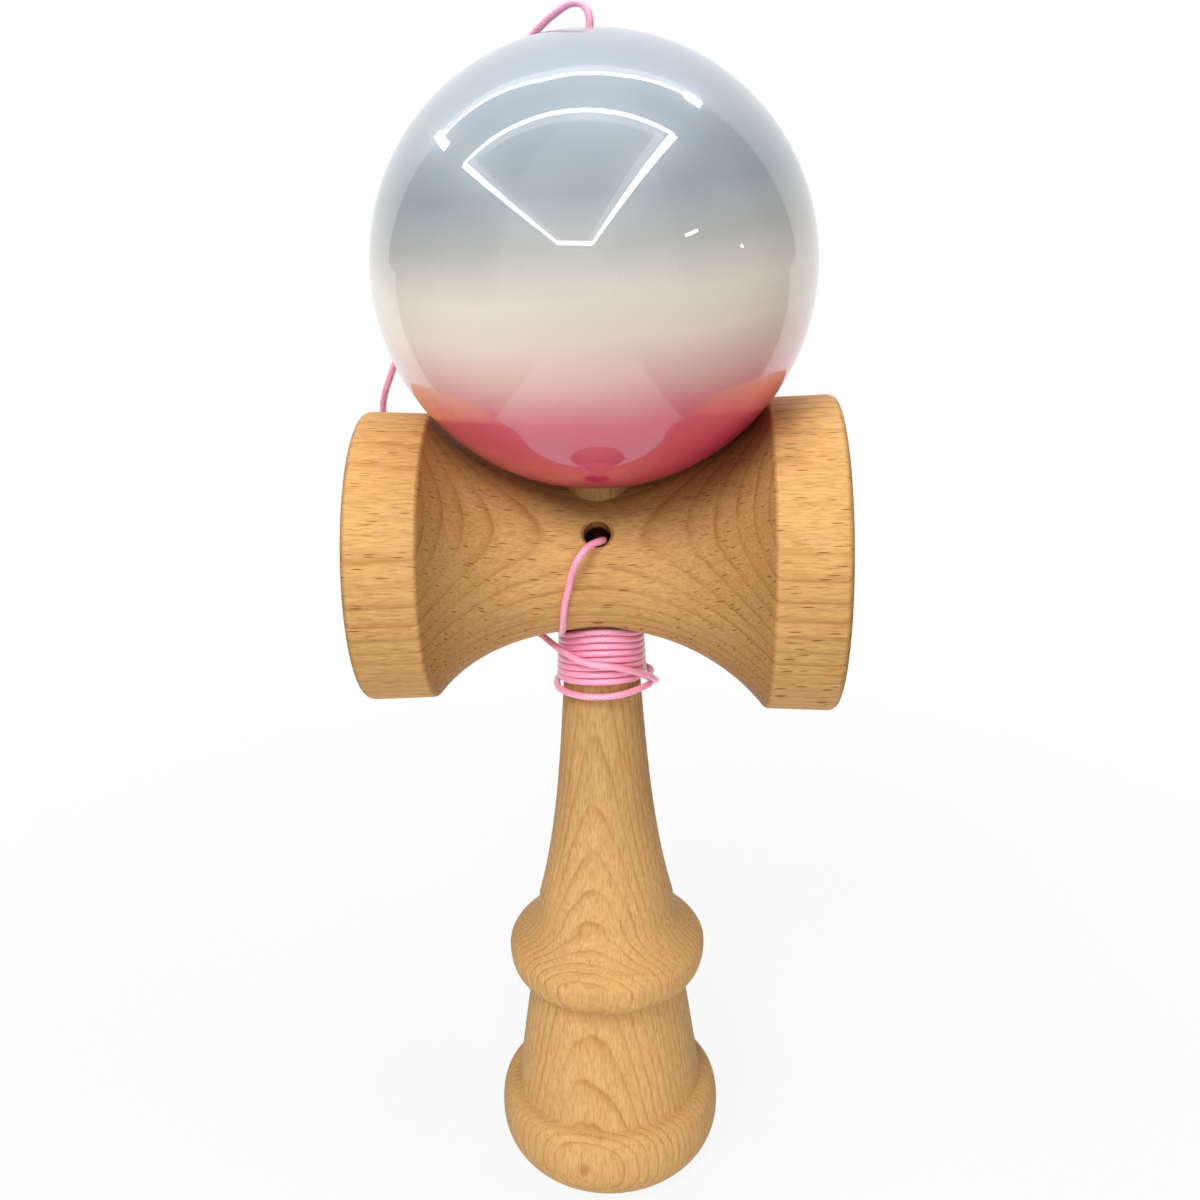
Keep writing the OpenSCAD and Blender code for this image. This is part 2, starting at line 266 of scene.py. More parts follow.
# %% Ken
stop_top = stop_z + stop_h
stop_wide_z = stop_z + stop_wide_h
stop_edge = (stop_r - stop_shoulder, stop_wide_z + stop_shoulder_h)
stop_low = (stop_r - stop_round, stop_z + stop_round / 2)
grip_low = (grip_r, stop_top)
neck = (neck_r, cross_z - seat_half)
grip_low_lead = (grip_r - grip_slim, stop_top + grip_low_reach)
grip_top_lead = (neck_r + neck_lean, neck[1] - grip_top_reach)
seat_top = (seat_top_r, cross_z + seat_half)
tip_low = (tip_r, tip_z - tip_r)
base_rim_in = (base_dish_r - rim_soft, rim_soft / 2)
base_rim_out = (base_dish_r + rim_soft, 0)
ken_outline = (
    dish(base_dish_r, base_dish_depth)[:-1]
    + bend(base_rim_in, (base_dish_r, 0), base_rim_out, steps=4)
    + [(rim_r - rim_soft, 0)]
    + bend((rim_r, 0), (foot_r, foot_turn_z), (foot_r, foot_wide_z), steps=16)
    + bend((foot_r, foot_wide_z), (foot_r, foot_h), (waist_low_r + rim_soft, foot_h), steps=16)
    + [(waist_low_r, foot_h + rim_soft / 2), (waist_top_r, stop_z), stop_low]
    + bend(stop_low, (stop_r, stop_z + stop_round), (stop_r, stop_wide_z))
    + bend((stop_r, stop_wide_z), (stop_r, stop_wide_z + stop_shoulder_h / 2), stop_edge)
    + bend(stop_edge, (grip_r, stop_top - stop_shoulder), grip_low)
    + flow(grip_low, grip_low_lead, grip_top_lead, neck, steps=40)
    + [seat_top, tip_low]
    + bend(tip_low, (tip_r, tip_z), (0, tip_z))
)
ken = turned("ken_turned", ken_outline)
print("ken:", len(ken.data.polygons), "faces")

# %% [markdown]
# The string is tied inside the ken. Its hole slants up to the front through the seat, and a wider
# pocket from behind takes the knot. Both are drilled along one line through the cross-piece's axis.

# %% Ken holes
hole_slant = math.radians(35)
hole_way = Vector((0, -math.cos(hole_slant), math.sin(hole_slant)))
hole_middle = Vector((0, 0, cross_z))
hole_reach = 12
ken_hole_r, knot_pocket_r, knot_pocket_s = 1.2, 1.7, -2.19
hole_back = hole_middle - hole_reach * hole_way
drill(
    ken,
    [
        cutter(ken_hole_r, ken_hole_r, hole_back, hole_middle + hole_reach * hole_way),
        cutter(knot_pocket_r, knot_pocket_r, hole_back, hole_middle + knot_pocket_s * hole_way),
    ],
)
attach(ken, "ken")
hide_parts("ken")
print("ken, drilled:", len(ken.data.polygons), "faces")

# %% [markdown]
# The cross-piece lies across the ken: two cups on one waist. Two outlines could be drawn by hand, but
# both cups have the same parts, so one function makes them, the small one mirrored.

# %% Cross-piece sizes
band_w, band_taper = 10.0, 0.3
rim_round, shoulder_round = 1.3, 0.5
flare_angle, flare_lead, flare_flat = math.radians(52), 8.0, 9.8
cross_waist_r = 10.8
big_cup_r, big_dish_r, big_dish_depth = cross_high.z - cross_z, 21.0, 8.6
small_cup_r, small_dish_r, small_dish_depth = 20.9, 19.2, 7.2
print("cups: %.1f mm and %.1f mm wide" % (2 * big_cup_r, 2 * small_cup_r))


# %% Cross-piece
def cup_outline(cup_r, dish_r, depth):
    """From the middle of the dish over the rim, down the band and along the flare to the waist."""
    slope = Vector((math.sin(flare_angle), math.cos(flare_angle)))
    corner = Vector((cup_r - band_taper, cross_half - band_w))
    above = corner + Vector((0, shoulder_round))
    below = corner - shoulder_round * slope
    rim_top = (cup_r - rim_round, cross_half)
    hollow = [Vector((p.x, cross_half - p.y)) for p in dish(dish_r, depth)]
    return (
        hollow[:-1]
        + bend(hollow[-2], hollow[-1], (dish_r + rim_soft, cross_half), steps=5)
        + [rim_top]
        + bend(rim_top, (cup_r, cross_half), (cup_r, cross_half - rim_round), steps=8)
        + [above]
        + bend(above, corner, below, steps=6)
        + flow(below, below - flare_lead * slope, (cross_waist_r, flare_flat), (cross_waist_r, 0))
    )


big_side = cup_outline(big_cup_r, big_dish_r, big_dish_depth)
small_side = cup_outline(small_cup_r, small_dish_r, small_dish_depth)
cross_outline = [(p[0], -p[1]) for p in small_side] + [tuple(p) for p in big_side[-2::-1]]
cross_piece = turned("cross_piece_turned", cross_outline, centre=(0, 0, cross_z), lying=True)
print("cross-piece:", len(cross_piece.data.polygons), "faces")

# %% [markdown]
# The bore that wedges on the seat is a shallow cone, opened below by a steeper one. The string hole
# goes on along the ken's own, wider, and a short cone breaks its edge.

# %% Cross-piece holes
seat_clear, mouth_bevel = 0.03, 1.0
string_hole_r, string_hole_bevel = 1.9, 0.35
mouth_r = neck_r + mouth_bevel
mouth_z = cross_z - math.sqrt(cross_waist_r**2 - mouth_r**2)
bevel_s = cross_waist_r - string_hole_bevel
drill(
    cross_piece,
    [
        cutter(
            neck_r + seat_clear,
            seat_top_r + seat_clear,
            (0, 0, cross_z - seat_half),
            (0, 0, cross_z + seat_half),
        ),
        cutter(2 * mouth_r, 0, (0, 0, mouth_z - 2 * mouth_r), (0, 0, mouth_z + 2 * mouth_r)),
        cutter(string_hole_r, string_hole_r, hole_middle, hole_middle + 2 * cross_waist_r * hole_way),
        cutter(
            string_hole_r / 2,
            string_hole_r * 2,
            hole_middle + (bevel_s - string_hole_r / 2) * hole_way,
            hole_middle + (bevel_s + string_hole_r) * hole_way,
        ),
    ],
)
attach(cross_piece, "ken")
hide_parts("cross_piece")
print("cross-piece, drilled:", len(cross_piece.data.polygons), "faces")

# %% [markdown]
# The ball is turned too, and hollow from below, so its outline is a closed loop: up the spike hole,
# round the bead's seat, out of the string hole, over the outside and back round the bevelled mouth.

# %% Ball
spike_hole_r, hole_bevel, hole_end_h = 9.5, 1.2, 6.0
top_hole_r, top_bevel = 1.5, 0.7
bead_r, bead_gap = 3.2, 0.1
bead_seat_r = (bead_high.x - bead_low.x) / 2
bead_z = (bead_low.z + bead_high.z) / 2
roof_z = bead_z + bead_r + bead_gap
ball_mouth_r = spike_hole_r + hole_bevel
top_edge_r = top_hole_r + top_bevel
ball_mouth_z = ball_z - math.sqrt(ball_r**2 - ball_mouth_r**2)
top_edge_z = ball_z + math.sqrt(ball_r**2 - top_edge_r**2)
skin_start = math.asin(top_edge_r / ball_r)
skin_end = math.pi - math.asin(ball_mouth_r / ball_r)
skin_steps = 96
skin = [skin_start + (skin_end - skin_start) * i / skin_steps for i in range(skin_steps + 1)]
ball_outline = (
    [(spike_hole_r, ball_mouth_z + hole_bevel), (spike_hole_r, roof_z - hole_end_h)]
    + [(bead_seat_r, roof_z), (top_hole_r, roof_z), (top_hole_r, top_edge_z - top_bevel)]
    + [(ball_r * math.sin(a), ball_z + ball_r * math.cos(a)) for a in skin]
)
ball = turned("ball_turned", ball_outline, closed=True)
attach(ball, "ball")
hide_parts("ball")
print("ball:", len(ball.data.polygons), "faces")

# %% [markdown]
# A small bead inside the ball keeps the string from pulling out. It is a closed loop spun like the
# ball, with a broken edge round each end of its hole.

# %% Bead
bead_hole_r, bead_soft = 0.8, 0.3
bead_steps, bead_spin_steps = 24, 48
bead_edge = math.acos((bead_hole_r + bead_soft) / bead_r)
bead_angles = [-bead_edge + 2 * bead_edge * i / bead_steps for i in range(bead_steps + 1)]
bead_outline = [(bead_r * math.cos(a), bead_z + bead_r * math.sin(a)) for a in bead_angles]
bead_end = bead_r * math.sin(bead_edge) - bead_soft
bead_outline += [(bead_hole_r, bead_z + bead_end), (bead_hole_r, bead_z - bead_end)]
bead = turned("bead_turned", bead_outline, closed=True, steps=bead_spin_steps)
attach(bead, "string_end")
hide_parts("bead")
print("bead:", len(bead.data.polygons), "faces")

# %% [markdown]
# The string is one braided nylon cord. It starts at the knot in the ken, comes out of the string
# hole, winds round the neck, crosses its own turns, passes under the small cup and climbs behind
# the ball to its top hole. Its free stretches follow listed points, in millimetres.

# %% String points
lead_points = [
    (0.47, -6.19, 109.26), (0.89, -8.04, 110.09), (0.44, -9.98, 110.63), (-1, -11.46, 110.48),
    (-2.27, -12.59, 109.34), (-3.19, -12.61, 107.5), (-3.65, -11.62, 105.76), (-4.11, -11.27, 103.79),
    (-4.6, -11.05, 101.8), (-4.8, -10.6, 100.4), (-4.95, -9.75, 98.95), (-5.15, -8.3, 97.1),
    (-5.4, -6.5, 95.75), (-5.6, -4.7, 94.95), (-5.75, -3.2, 94.6),
]
loose_turn = [
    (6.6, 2.6, 86.3), (7.2, 0.6, 85.9), (7.3, -1.6, 85.55), (6.5, -3.4, 85.7), (5.5, -4.5, 85.75),
    (4.2, -5.6, 85.7), (1.9, -6.7, 85.62), (-0.4, -6.95, 85.6), (-2.7, -6.4, 85.48), (-4.6, -5.2, 85.4),
    (-5.8, -3.8, 85.3), (-6.5, -2.3, 85.2), (-6.8, 0.5, 85), (-6.2, 3.2, 84.8), (-4.2, 5.4, 84.6),
    (-1, 6.7, 84.4), (2.4, 6.4, 84.3), (5.2, 4.6, 84.3), (7.2, 2.2, 84.5), (8.1, 0, 85.1),
]
over_turn = [
    (7.8, -1.9, 86.2), (7, -3.1, 87.2), (5.85, -4.4, 88.2), (4.65, -5.45, 89), (3.7, -6.1, 89.55),
    (2.3, -6.75, 90.2), (0.9, -7.1, 90.55), (-0.4, -7.15, 90.75), (-2.3, -6.8, 91), (-3.2, -6.4, 91.25),
    (-4.3, -5.7, 91.6), (-5.45, -4.75, 91.9), (-6.6, -3.4, 92.15), (-7.9, -1.5, 92.4),
    (-9.2, 0.7, 92.5),
]
tail_points = [
    (-10.9, 4, 92.2), (-13.2, 8.6, 92.4), (-16.4, 12.8, 93), (-20, 16.8, 94.4), (-24, 20.4, 97),
    (-27.6, 22, 101.4), (-30.4, 22.4, 107), (-32.4, 21.4, 113), (-33.5, 19.2, 118.6),
    (-33.2, 16.6, 124), (-31, 14.6, 129.6), (-28.4, 14.8, 135.6), (-26.2, 17, 142), (-23.8, 19.8, 149),
    (-20.8, 21.8, 156), (-17.4, 21.6, 162.3), (-13.8, 19, 167.7), (-11, 14.6, 171.6),
    (-9.1, 10, 174.1), (-7.7, 6.6, 175.65), (-6.5, 4.8, 176.6), (-5.5, 3.7, 177.4), (-4.3, 2.75, 178.2),
    (-3, 1.9, 178.95), (-1.9, 1.25, 179.2), (-1.07, 0.72, 179.04), (-0.5, 0.34, 178.58),
    (-0.13, 0.09, 177.9), (0, 0, 177.1), (0, 0, 176.6),
]
free_points = [lead_points, loose_turn, over_turn, tail_points]
print("string: %d points set by hand" % sum(map(len, free_points)))

# %% [markdown]
# The turns on the neck repeat, so a formula places them: each lies on the ken's own outline, one pitch
# below the last, and sags at both sides of the neck.

# %% String winding
string_d = 1.02
string_off = 0.03
wind_turns, wind_front, wind_pitch = 8.3, 96.28, 1.107
wind_lift_top, wind_lift_low = 1.0, 0.35
wind_start = math.radians(-160)
turn_points = 24


def ken_radius(height):
    """The ken's radius above the slip stop."""
    for (r0, z0), (r1, z1) in zip(ken_outline, ken_outline[1:]):
        if z0 > stop_top and z0 <= height <= z1:
            return r0 + (r1 - r0) * (height - z0) / (z1 - z0)
    return neck_r


def wind_at(turns):
    angle = wind_start - 2 * math.pi * turns
    lift = wind_lift_top + (wind_lift_low - wind_lift_top) * turns / wind_turns
    height = wind_front - wind_pitch * turns - lift * (1 + math.cos(2 * angle))
    radius = ken_radius(height) + string_d / 2 + string_off
    return Vector((radius * math.cos(angle), radius * math.sin(angle), height))


winding = [wind_at(i / turn_points) for i in range(int(wind_turns * turn_points) + 1)]
print("winding: %.1f turns on %d points" % (wind_turns, len(winding)))

# %% [markdown]
# All stretches are joined into one line before it is smoothed, so that no seam shows where one ends.
# A Catmull-Rom curve passes through every point, which keeps the turns on the neck.

# %% String route
anchor_s = -2.29
route_steps = 4


def smooth_line(points, steps):
    line = []
    last = len(points) - 1
    for i in range(last):
        a, b, c, d = (points[min(max(k, 0), last)] for k in (i - 1, i, i + 1, i + 2))
        square = 2 * a - 5 * b + 4 * c - d
        cube = 3 * b - a - 3 * c + d
        for k in range(steps):
            t = k / steps
            line.append(0.5 * (2 * b + (c - a) * t + square * t**2 + cube * t**3))
    return line + [points[last]]


inner = [hole_middle + s * hole_way for s in (anchor_s, 0, neck_r)]
after = [Vector(p) for p in loose_turn + over_turn + tail_points]
route = inner + [Vector(p) for p in lead_points] + winding + after
string_path = [p * MM for p in smooth_line(route, route_steps)]
string_length = sum((b - a).length for a, b in zip(string_path, string_path[1:]))
print("string: %.0f mm on %d points" % (string_length / MM, len(string_path)))

# %% [markdown]
# A curve with a round bevel makes the tube, and its mesh keeps a UV map that runs along and round
# the cord, which the braid needs.


# %% String tube
def tube(name, line, diameter, sides=12):
    curve = bpy.data.curves.new(name, "CURVE")
    curve.dimensions = "3D"
    curve.bevel_depth = diameter / 2
    curve.bevel_resolution = sides // 4
    curve.use_fill_caps = True
    spline = curve.splines.new("POLY")
    spline.points.add(len(line) - 1)
    for point, place in zip(spline.points, line):
        point.co = (*place, 1)
    holder = new_object(name, curve)
    graph = bpy.context.evaluated_depsgraph_get()
    mesh = bpy.data.meshes.new_from_object(holder.evaluated_get(graph))
    bpy.data.objects.remove(holder)
    mesh.shade_smooth()
    return new_object(name, mesh)


string = tube("string_main", string_path, string_d * MM)
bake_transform(string)
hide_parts("string_lead", "string_winding", "string_tail")
string_maps = [layer.name for layer in string.data.uv_layers]
print("string mesh:", len(string.data.polygons), "faces, maps:", string_maps)

# %% [markdown]
# Inside the ball the string runs straight through the bead to its end knot, as a tube of its own that
# goes up with the ball. It reaches a little way out of the top hole, into the end of the long tube.

# %% String in the ball
core_over = 0.3
core_steps = 24
core_low = Vector((0, 0, bead_z - bead_r - bead_gap))
core_high = Vector((0, 0, ball_top + core_over))
core_start, core_end = core_low * MM, core_high * MM
core_line = [core_start.lerp(core_end, i / core_steps) for i in range(core_steps + 1)]
core = tube("string_in_ball_braid", core_line, string_d * MM)
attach(core, "string_end")
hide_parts("string_in_ball")
print("string in the ball: %.1f mm" % (core_high - core_low).length)

# %% [markdown]
# Both ends are real knots. A plain barrel would do for a hidden piece, but a trefoil line, tight
# enough that its tube touches itself, is what a tied knot is.

# %% Knots
knot_gap = 1.4
knot_size = 0.95
knot_d = 0.9 * string_d
knot_rise = 1.5
knot_steps = 72


def knot_line(centre, axis, size):
    """A trefoil about the axis, in three lobes that reach out to the size."""
    turn_to = axis.to_track_quat("Z", "Y").to_matrix()
    line = []
    for i in range(knot_steps + 1):
        a = 2 * math.pi * i / knot_steps
        bulge = 2 + math.cos(3 * a)
        p = Vector((bulge * math.cos(2 * a), bulge * math.sin(2 * a), knot_rise * math.sin(3 * a)))
        line.append((centre + turn_to @ (p * size / 3)) * MM)
    return line


bead_knot_middle = core_low - Vector((0, 0, knot_gap))
anchor_middle = hole_middle + (anchor_s - knot_gap) * hole_way
knots = {
    "bead_knot": (bead_knot_middle, Vector((0, 0, 1)), "string_end"),
    "anchor_knot": (anchor_middle, hole_way, "ken"),
}
tied = []
for node, (middle, axis, body) in knots.items():
    knot = tube(node + "_tied", knot_line(middle, axis, knot_size), knot_d * MM)
    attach(knot, body)
    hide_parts(node)
    tied.append(knot)
print("knots:", sorted(knots))

# %% [markdown]
# Once all that hangs on the cord exists, it is counted: the knots, the bead and its core.

# %% String facts
print("string with", len(tied), "knots, a bead and its core")

# %% [markdown]
# A finish is a web of small shader nodes. Written out one by one they would fill pages, so each kind
# has a helper that adds the node, sets or links its inputs and hands back its output.


# %% Node helpers
def add(tree, kind, **values):
    node = tree.nodes.new(kind)
    for key, value in values.items():
        setattr(node, key, value)
    return node


def math_node(tree, operation, a, b=None):
    node = add(tree, "ShaderNodeMath", operation=operation)
    for socket, value in zip(node.inputs, (a, b)):
        if isinstance(value, (int, float)):
            socket.default_value = value
        elif value is not None:
            tree.links.new(value, socket)
    return node.outputs[0]


def plus(tree, a, b):
    return math_node(tree, "ADD", a, b)


def minus(tree, a, b):
    return math_node(tree, "SUBTRACT", a, b)


def times(tree, a, b):
    return math_node(tree, "MULTIPLY", a, b)


def larger(tree, a, b):
    return math_node(tree, "MAXIMUM", a, b)


def size_of(tree, a):
    return math_node(tree, "ABSOLUTE", a)


print("node helpers: add, math_node, plus, minus, times, larger, size_of")

# %% [markdown]
# The next helpers work on patterns: they stretch a place, read noise there, move a value from one
# range to another, mix two colours and take a place apart into its three directions.


# %% Pattern helpers
def scaled(tree, vector, scale):
    node = add(tree, "ShaderNodeVectorMath", operation="MULTIPLY")
    tree.links.new(vector, node.inputs[0])
    node.inputs[1].default_value = scale
    return node.outputs[0]


def in_mm(tree, vector):
    return scaled(tree, vector, (1 / MM, 1 / MM, 1 / MM))


def noise(tree, vector, scale, detail=2.0, rough=0.5):
    node = add(tree, "ShaderNodeTexNoise")
    tree.links.new(scaled(tree, vector, scale), node.inputs["Vector"])
    node.inputs["Scale"].default_value = 1
    node.inputs["Detail"].default_value = detail
    node.inputs["Roughness"].default_value = rough
    return node.outputs["Fac"]


def remap(tree, value, low, high, to_low=0.0, to_high=1.0, smooth=False):
    node = add(tree, "ShaderNodeMapRange", interpolation_type="SMOOTHSTEP" if smooth else "LINEAR")
    tree.links.new(value, node.inputs["Value"])
    limits = {"From Min": low, "From Max": high, "To Min": to_low, "To Max": to_high}
    for name, number in limits.items():
        node.inputs[name].default_value = number
    return node.outputs["Result"]


def mix(tree, factor, a, b, blend="MIX"):
    node = add(tree, "ShaderNodeMix", data_type="RGBA", blend_type=blend)
    # A Mix node has sockets for every kind of data: these are its factor and its two colours.
    sockets = (node.inputs[0], node.inputs[6], node.inputs[7])
    for socket, value in zip(sockets, (factor, a, b)):
        if hasattr(value, "is_linked"):
            tree.links.new(value, socket)
        elif isinstance(value, (int, float)):
            socket.default_value = value
        else:
            socket.default_value = (*value, 1)
    return node.outputs[2]


def directions(tree, vector):
    node = add(tree, "ShaderNodeSeparateXYZ")
    tree.links.new(vector, node.inputs[0])
    return node.outputs


print("pattern helpers: scaled, in_mm, noise, remap, mix, directions")

# %% [markdown]
# Beech is one pale brown wood with three things to see: thin growth lines a millimetre or two
# apart, short dark flecks along the grain, and fine fibres. As a solid texture they come out right
# on every cut, so a dome shows arches and a band shows straight dashes. Board space, in which they
# lie, has the grain along Z and the growth lines across Y. Scales are counts per millimetre.


# %% Growth lines and flecks
def growth_lines(tree, board, ring_width, ring_depth):
    """A mask of thin lines, one for each ring, that bow, drift and fade along the board."""
    ring_bow = 0.006
    drift_scale, drift_mm = (0.05, 0.05, 0.012), 1.8
    ripple_scale, ripple_mm = (0.5, 0.5, 0.08), 0.4
    fade_scale, fade_range, fade_to = (0.22, 0.22, 0.03), (0.35, 0.65), (0.3, 1)
    line_start, line_peak, line_power = 0.25, 0.9, 4.0
    across, radial, _ = directions(tree, board)
    bow = times(tree, times(tree, across, across), ring_bow)
    drift = times(tree, noise(tree, board, drift_scale), drift_mm)
    ripple = times(tree, noise(tree, board, ripple_scale), ripple_mm)
    depth = plus(tree, plus(tree, radial, bow), plus(tree, drift, ripple))
    ring = math_node(tree, "FRACT", math_node(tree, "DIVIDE", depth, ring_width))
    climb = math_node(tree, "POWER", remap(tree, ring, line_start, line_peak), line_power)
    line = times(tree, climb, remap(tree, ring, 1.0, line_peak))
    fade = remap(tree, noise(tree, board, fade_scale), *fade_range, *fade_to)
    return times(tree, times(tree, line, fade), ring_depth)


def grain_flecks(tree, board, fleck_depth):
    """A mask of short spindles along the grain, some fainter than others."""
    cell_scale = (2.8, 0.5, 0.2)
    spindle_core, spindle_edge = 0.10, 0.24
    faint_range, faint_to = (0.0, 0.6), (0.3, 1)
    cells = add(tree, "ShaderNodeTexVoronoi", feature="F1")
    tree.links.new(scaled(tree, board, cell_scale), cells.inputs["Vector"])
    cells.inputs["Scale"].default_value = 1
    spindle = remap(tree, cells.outputs["Distance"], spindle_core, spindle_edge, 1, 0, smooth=True)
    chance = add(tree, "ShaderNodeSeparateColor")
    tree.links.new(cells.outputs["Color"], chance.inputs[0])
    faint = remap(tree, chance.outputs[0], *faint_range, *faint_to)
    return times(tree, times(tree, spindle, faint), fleck_depth)


print("beech patterns: growth lines and flecks")

# %% [markdown]
# One node group holds the pattern for all the wood. It lays the darker parts over the pale wood one by
# one, each as the board's own dark tone times a tint, and puts out roughness and height as well, so
# that a fleck is also a shallow, dull pore. Three materials could repeat these nodes, but a group is
# changed in one place.

# %% Beech group
BEECH_SOCKETS = [
    ("INPUT", "NodeSocketVector", ["Board"]),
    ("INPUT", "NodeSocketColor", ["Pale", "Dark"]),
    # The last float input sets how dark faces across the fibres are: partly end grain, partly painted
    # shade.
    ("INPUT", "NodeSocketFloat", ["Ring Width", "Ring Depth", "Fleck Depth", "Grain End Shade"]),
    ("OUTPUT", "NodeSocketColor", ["Colour"]),
    ("OUTPUT", "NodeSocketFloat", ["Roughness", "Height"]),
]
fibre_tint, line_tint = (0.84, 0.76, 0.68), (0.74, 0.62, 0.50)
# On the next line the second tint darkens faces across the fibres: partly end grain, partly painted
# shade.
fleck_tint, grain_end_shade_tint = (0.36, 0.28, 0.22), (0.64, 0.60, 0.56)
cloud_scale, cloud_range, cloud_share = (0.07, 0.07, 0.02), (0.3, 0.7), 0.3
streak_scale, streak_range, streak_share = (1.1, 1.1, 0.1), (0.35, 0.7), 0.35
fibre_scale, fibre_range, fibre_share = (3.4, 3.4, 0.4), (0.42, 0.68), 0.7
gloss_range, wood_smooth, wood_rough, fleck_rough = (0.3, 0.7), 0.48, 0.60, 0.12
fibre_relief, fleck_relief, line_relief = 0.25, 0.7, 0.1


def beech_group():
    tree = bpy.data.node_groups.new("beech_grain", "ShaderNodeTree")
    for way, kind, names in BEECH_SOCKETS:
        for name in names:
            tree.interface.new_socket(name, in_out=way, socket_type=kind)
    source = add(tree, "NodeGroupInput").outputs
    result = add(tree, "NodeGroupOutput").inputs
    board = in_mm(tree, source["Board"])
    line = growth_lines(tree, board, source["Ring Width"], source["Ring Depth"])
    fleck = grain_flecks(tree, board, source["Fleck Depth"])
    fibre = noise(tree, board, fibre_scale, detail=3.0, rough=0.65)
    streak = noise(tree, board, streak_scale)
    cloud = noise(tree, board, cloud_scale)

    cloud_mask = remap(tree, cloud, *cloud_range, 0, cloud_share)
    streak_mask = remap(tree, streak, *streak_range, 0, streak_share)
    fibre_mask = remap(tree, fibre, *fibre_range, 0, fibre_share)
    colour = mix(tree, cloud_mask, source["Pale"], source["Dark"])
    colour = mix(tree, streak_mask, colour, source["Dark"])
    for mask, tint in ((fibre_mask, fibre_tint), (line, line_tint), (fleck, fleck_tint)):
        colour = mix(tree, mask, colour, mix(tree, 1.0, source["Dark"], tint, "MULTIPLY"))
    # Faces across the fibres take a darker tint: partly the end grain's own tone, partly painted shade.
    grain_end_shaded = mix(tree, 1.0, colour, grain_end_shade_tint, "MULTIPLY")
    tree.links.new(mix(tree, source["Grain End Shade"], colour, grain_end_shaded), result["Colour"])

    fibre_gloss = remap(tree, fibre, *gloss_range, wood_smooth, wood_rough)
    tree.links.new(plus(tree, fibre_gloss, times(tree, fleck, fleck_rough)), result["Roughness"])
    relief = minus(tree, times(tree, fibre, fibre_relief), times(tree, fleck, fleck_relief))
    tree.links.new(minus(tree, relief, times(tree, line, line_relief)), result["Height"])
    return tree


beech = beech_group()
print("beech group:", len(beech.nodes), "nodes")

# %% [markdown]
# Each wooden piece is cut from its own board. A Mapping node turns the piece's coordinates into
# board space: the ken's grain runs up its length with the growth lines facing the front, the
# cross-piece's grain runs from cup to cup with the lines tilted up like the string hole. Where the
# surface cuts across the fibres, as on the flares, it is darker: partly the end grain, which soaks up
# more wax, and partly painted shade that stands in for the light the flares miss.

# %% Wood material
# From the first to the second of these, faces across the fibres darken: partly end grain, partly painted
# shade.
grain_end_shade_from, grain_end_shade_full = 0.2, 0.75
pore_depth = 0.1


def material(name):
    paint = bpy.data.materials.new(name)
    paint.use_nodes = True
    return paint, paint.node_tree, paint.node_tree.nodes["Principled BSDF"]


def dress(piece, paint):
    piece.data.materials.clear()
    piece.data.materials.append(paint)


def relief_on(tree, shader, height, depth_mm):
    """Lets a height, in shares of a depth in millimetres, bend the surface's light."""
    bump = add(tree, "ShaderNodeBump")
    bump.inputs["Strength"].default_value = 0.35
    bump.inputs["Distance"].default_value = depth_mm * MM
    tree.links.new(height, bump.inputs["Height"])
    tree.links.new(bump.outputs[0], shader.inputs["Normal"])


def beech_material(name, turn_degrees, middle, shift, tones, ring, fleck, end):
    """Board space has its zero at the piece's middle, moved by the shift, both in millimetres."""
    paint, tree, shader = material(name)
    place = add(tree, "ShaderNodeTexCoord")
    mapping = add(tree, "ShaderNodeMapping", vector_type="POINT")
    turn = Euler([math.radians(a) for a in turn_degrees])
    board_zero = Vector(shift) - turn.to_matrix() @ Vector(middle)
    mapping.inputs["Rotation"].default_value = turn
    mapping.inputs["Location"].default_value = board_zero * MM
    tree.links.new(place.outputs["Object"], mapping.inputs["Vector"])
    grain = add(tree, "ShaderNodeGroup", node_tree=beech)
    tree.links.new(mapping.outputs[0], grain.inputs["Board"])
    grain.inputs["Pale"].default_value = (*tones[0], 1)
    grain.inputs["Dark"].default_value = (*tones[1], 1)
    grain.inputs["Ring Width"].default_value = ring[0]
    grain.inputs["Ring Depth"].default_value = ring[1]
    grain.inputs["Fleck Depth"].default_value = fleck
    # The more a face cuts across the fibres, the darker it is made: partly end grain, partly painted
    # shade.
    facing = add(tree, "ShaderNodeVectorMath", operation="DOT_PRODUCT")
    tree.links.new(place.outputs["Normal"], facing.inputs[0])
    facing.inputs[1].default_value = turn.to_matrix().transposed() @ Vector((0, 0, 1))
    across_fibres = size_of(tree, facing.outputs["Value"])
    grain_end_shade_mask = remap(tree, across_fibres, grain_end_shade_from, grain_end_shade_full, 0, end)
    tree.links.new(grain_end_shade_mask, grain.inputs["Grain End Shade"])
    tree.links.new(grain.outputs["Colour"], shader.inputs["Base Color"])
    tree.links.new(grain.outputs["Roughness"], shader.inputs["Roughness"])
    relief_on(tree, shader, grain.outputs["Height"], pore_depth)
    shader.inputs["Specular IOR Level"].default_value = 0.08
    return paint


print("wood material: end grain from %.2f to %.2f" % (grain_end_shade_from, grain_end_shade_full))

